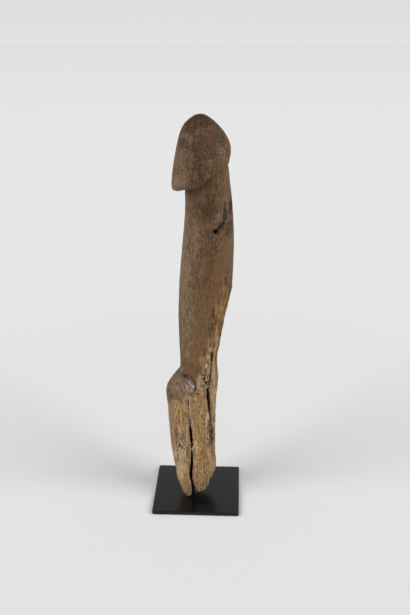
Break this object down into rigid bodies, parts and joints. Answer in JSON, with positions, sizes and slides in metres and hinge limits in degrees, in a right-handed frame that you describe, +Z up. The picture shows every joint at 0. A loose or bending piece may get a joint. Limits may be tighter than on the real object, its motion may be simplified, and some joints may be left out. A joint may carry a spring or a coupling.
{
  "type": "weathered wooden phallus carving on display stand",
  "caption": "Weathered carved wooden phallus with a split, eroded foot, standing on a steel pin over a small square black plate.",
  "frame": {"origin": "centre of the plate's underside", "axes": "+Z up along the carving, -Y towards the viewer, +X to the viewer's right"},
  "size_m": [0.07, 0.07, 0.314],
  "materials": {
    "weathered_wood": "dry, dull brown old hardwood, smooth with a low hand sheen above and rotted, cracked and ochre at the foot",
    "black_steel": "satin black coating"
  },
  "bodies": {
    "root": {"carving": "weathered_wood", "support_pin": "black_steel", "base_plate": "black_steel"}
  },
  "joints": []
}
